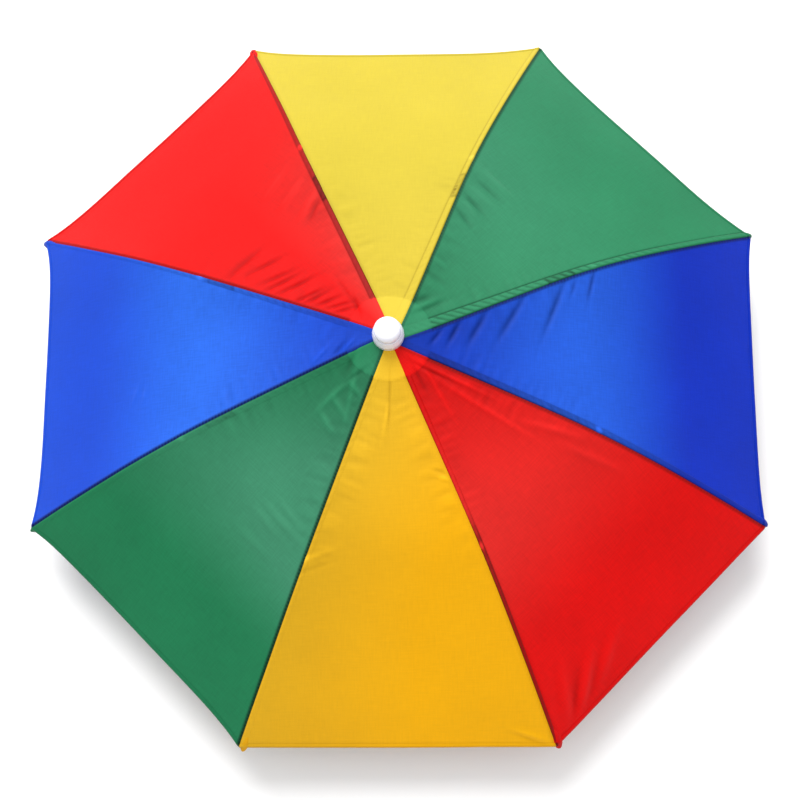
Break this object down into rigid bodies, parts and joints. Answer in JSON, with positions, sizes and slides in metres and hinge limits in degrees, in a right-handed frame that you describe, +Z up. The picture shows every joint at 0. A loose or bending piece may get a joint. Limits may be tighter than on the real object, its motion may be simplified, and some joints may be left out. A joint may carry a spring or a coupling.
{
  "type": "umbrella hat",
  "caption": "Umbrella worn as a hat: a shallow cloth canopy in four bright colours on steel ribs, with a white cap on top and an elastic headband on arms below.",
  "frame": {"origin": "on the surface that the headband rests on, below the middle of the rib tips", "axes": "+Z up through the crown; +X to the blue panel between ribs 2 and 3; +Y to the yellow panel between ribs 8 and 1"},
  "size_m": [0.5184, 0.5184, 0.167],
  "materials": {
    "yellow_cloth": "fine woven nylon with a satin sheen",
    "green_cloth": "fine woven nylon with a satin sheen",
    "blue_cloth": "fine woven nylon with a satin sheen",
    "red_cloth": "fine woven nylon with a satin sheen",
    "lining_cloth": "plain white weave",
    "white_plastic": "moulded, soft gloss",
    "steel": "plated wire",
    "elastic": "ribbed woven elastic"
  },
  "bodies": {
    "root": {"panel_1_yellow": "yellow_cloth", "panel_2_green": "green_cloth", "panel_3_blue": "blue_cloth", "panel_4_red": "red_cloth", "panel_5_yellow": "yellow_cloth", "panel_6_green": "green_cloth", "panel_7_blue": "blue_cloth", "panel_8_red": "red_cloth", "seam_1": "yellow_cloth", "seam_2": "green_cloth", "seam_3": "blue_cloth", "seam_4": "red_cloth", "seam_5": "yellow_cloth", "seam_6": "green_cloth", "seam_7": "blue_cloth", "seam_8": "red_cloth", "tip_1": "yellow_cloth", "tip_2": "green_cloth", "tip_3": "blue_cloth", "tip_4": "red_cloth", "tip_5": "yellow_cloth", "tip_6": "green_cloth", "tip_7": "blue_cloth", "tip_8": "red_cloth", "crown_patch": "lining_cloth", "rib_1": "steel", "rib_2": "steel", "rib_3": "steel", "rib_4": "steel", "rib_5": "steel", "rib_6": "steel", "rib_7": "steel", "rib_8": "steel", "stretcher_1": "steel", "stretcher_2": "steel", "stretcher_3": "steel", "stretcher_4": "steel", "stretcher_5": "steel", "stretcher_6": "steel", "stretcher_7": "steel", "stretcher_8": "steel", "top_cap": "white_plastic", "top_hub": "white_plastic", "runner": "white_plastic", "post": "steel", "headband": "elastic", "arm_1": "white_plastic", "arm_2": "white_plastic", "arm_3": "white_plastic", "arm_4": "white_plastic"}
  },
  "joints": []
}
